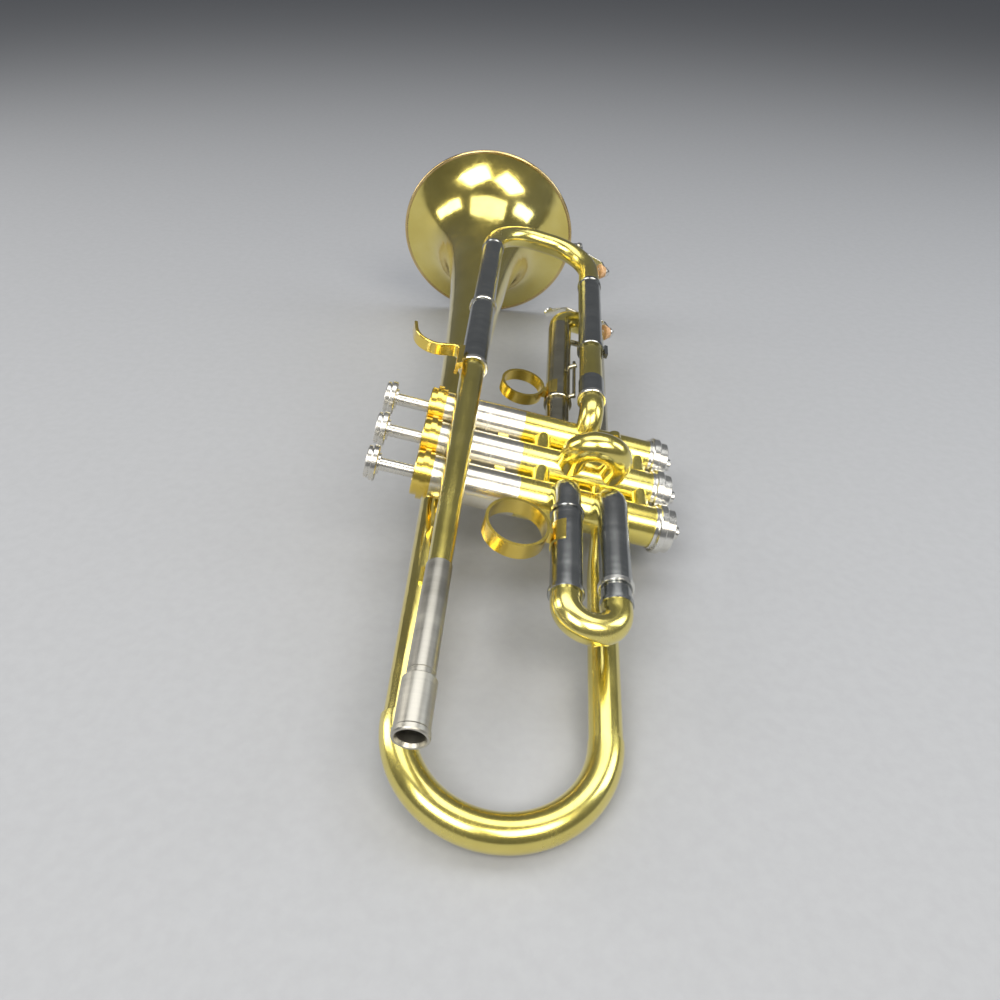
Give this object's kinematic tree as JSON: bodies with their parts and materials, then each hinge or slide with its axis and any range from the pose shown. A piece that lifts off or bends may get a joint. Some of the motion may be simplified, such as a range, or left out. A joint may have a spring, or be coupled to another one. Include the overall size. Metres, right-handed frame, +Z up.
{
  "type": "trumpet",
  "caption": "Three-valve trumpet lying on its side, with sliding pistons, tuning and valve slides, water keys, finger hook and finger rings.",
  "frame": {"origin": "middle of the footprint, on the surface that the trumpet lies on", "axes": "+Y towards the bell mouth, -X towards the finger buttons, +Z up; the instrument lies on its left side"},
  "size_m": [0.1718, 0.4676, 0.1239],
  "materials": {
    "lacquered_brass": "gold-lacquered, polished",
    "nickel_silver": "drawn nickel silver, finely brushed round the tube",
    "polished_nickel": "polished nickel plate",
    "silver_plate": "bright silver plate",
    "cork": "natural cork",
    "felt": "pressed felt",
    "spring_steel": "plain wire"
  },
  "bodies": {
    "horn": {"bell": "lacquered_brass", "bell_rim_wire": "lacquered_brass", "bell_bow": "lacquered_brass", "bell_tail": "lacquered_brass", "receiver": "nickel_silver", "leadpipe": "lacquered_brass", "main_outer_tube": "nickel_silver", "third_valve_crook": "lacquered_brass", "crook_sleeve": "nickel_silver", "ferrules": "polished_nickel", "upper_casing_1": "polished_nickel", "lower_casing_1": "lacquered_brass", "top_cap_1": "lacquered_brass", "bottom_cap_1": "polished_nickel", "valve_spring_1": "spring_steel", "upper_casing_2": "polished_nickel", "lower_casing_2": "lacquered_brass", "top_cap_2": "lacquered_brass", "bottom_cap_2": "polished_nickel", "valve_spring_2": "spring_steel", "upper_casing_3": "polished_nickel", "lower_casing_3": "lacquered_brass", "top_cap_3": "lacquered_brass", "bottom_cap_3": "polished_nickel", "valve_spring_3": "spring_steel", "valve_guides": "nickel_silver", "stem_felts": "felt", "valve_knuckles": "lacquered_brass", "first_valve_inner_tube": "nickel_silver", "first_valve_outer_tube": "nickel_silver", "second_valve_tubes": "lacquered_brass", "third_valve_tubes": "lacquered_brass", "body_braces": "lacquered_brass", "finger_hook": "lacquered_brass"},
    "piston_1_unit": {"piston_1": "silver_plate", "stem_1": "silver_plate", "button_1": "silver_plate"},
    "piston_2_unit": {"piston_2": "silver_plate", "stem_2": "silver_plate", "button_2": "silver_plate"},
    "piston_3_unit": {"piston_3": "silver_plate", "stem_3": "silver_plate", "button_3": "silver_plate"},
    "main_slide": {"main_slide_upper_leg": "nickel_silver", "main_slide_lower_sleeve": "nickel_silver", "main_slide_bow": "lacquered_brass", "main_key_saddle": "polished_nickel"},
    "main_key": {"main_water_key": "polished_nickel", "main_key_pad": "cork"},
    "first_slide": {"first_slide_legs": "nickel_silver", "first_slide_bow": "lacquered_brass", "first_finger_ring": "lacquered_brass"},
    "second_slide": {"second_slide_legs": "nickel_silver", "second_slide_bow": "lacquered_brass"},
    "third_slide": {"third_slide_legs": "nickel_silver", "third_slide_bow": "lacquered_brass", "third_finger_ring": "lacquered_brass", "third_key_saddle": "polished_nickel"},
    "third_key": {"third_water_key": "polished_nickel", "third_key_pad": "cork"}
  },
  "joints": [
    {"name": "valve_1_press", "type": "slide", "parent": "horn", "child": "piston_1_unit", "axis": [0.9744, 0, -0.225], "range_m": [0, 0.0156], "stiffness_N_per_m": 120, "springref_m": -0.012, "deforming": ["valve_spring_1"]},
    {"name": "valve_2_press", "type": "slide", "parent": "horn", "child": "piston_2_unit", "axis": [0.9744, 0, -0.225], "range_m": [0, 0.0156], "stiffness_N_per_m": 120, "springref_m": -0.012, "deforming": ["valve_spring_2"]},
    {"name": "valve_3_press", "type": "slide", "parent": "horn", "child": "piston_3_unit", "axis": [0.9744, 0, -0.225], "range_m": [0, 0.0156], "stiffness_N_per_m": 120, "springref_m": -0.012, "deforming": ["valve_spring_3"]},
    {"name": "main_slide_pull", "type": "slide", "parent": "horn", "child": "main_slide", "axis": [0.0253, 0.9937, 0.1095], "range_m": [-0.028, 0.01]},
    {"name": "main_key_open", "type": "hinge", "parent": "main_slide", "child": "main_key", "pos_m": [0.04031, 0.16003, 0.07687], "axis": [0.2235, -0.1123, 0.9682], "range_deg": [0, 5], "stiffness_Nm_per_rad": 0.15, "springref_deg": -14.32},
    {"name": "first_slide_pull", "type": "slide", "parent": "horn", "child": "first_slide", "axis": [-0.0253, -0.9937, -0.1095], "range_m": [0, 0.018]},
    {"name": "second_slide_pull", "type": "slide", "parent": "horn", "child": "second_slide", "axis": [0.2108, -0.3494, 0.913], "range_m": [0, 0.003]},
    {"name": "third_slide_pull", "type": "slide", "parent": "horn", "child": "third_slide", "axis": [0.0253, 0.9937, 0.1095], "range_m": [-0.006, 0.016]},
    {"name": "third_key_open", "type": "hinge", "parent": "third_slide", "child": "third_key", "pos_m": [0.04308, 0.10379, 0.05432], "axis": [0.2235, -0.1123, 0.9682], "range_deg": [0, 5], "stiffness_Nm_per_rad": 0.15, "springref_deg": -14.32}
  ]
}
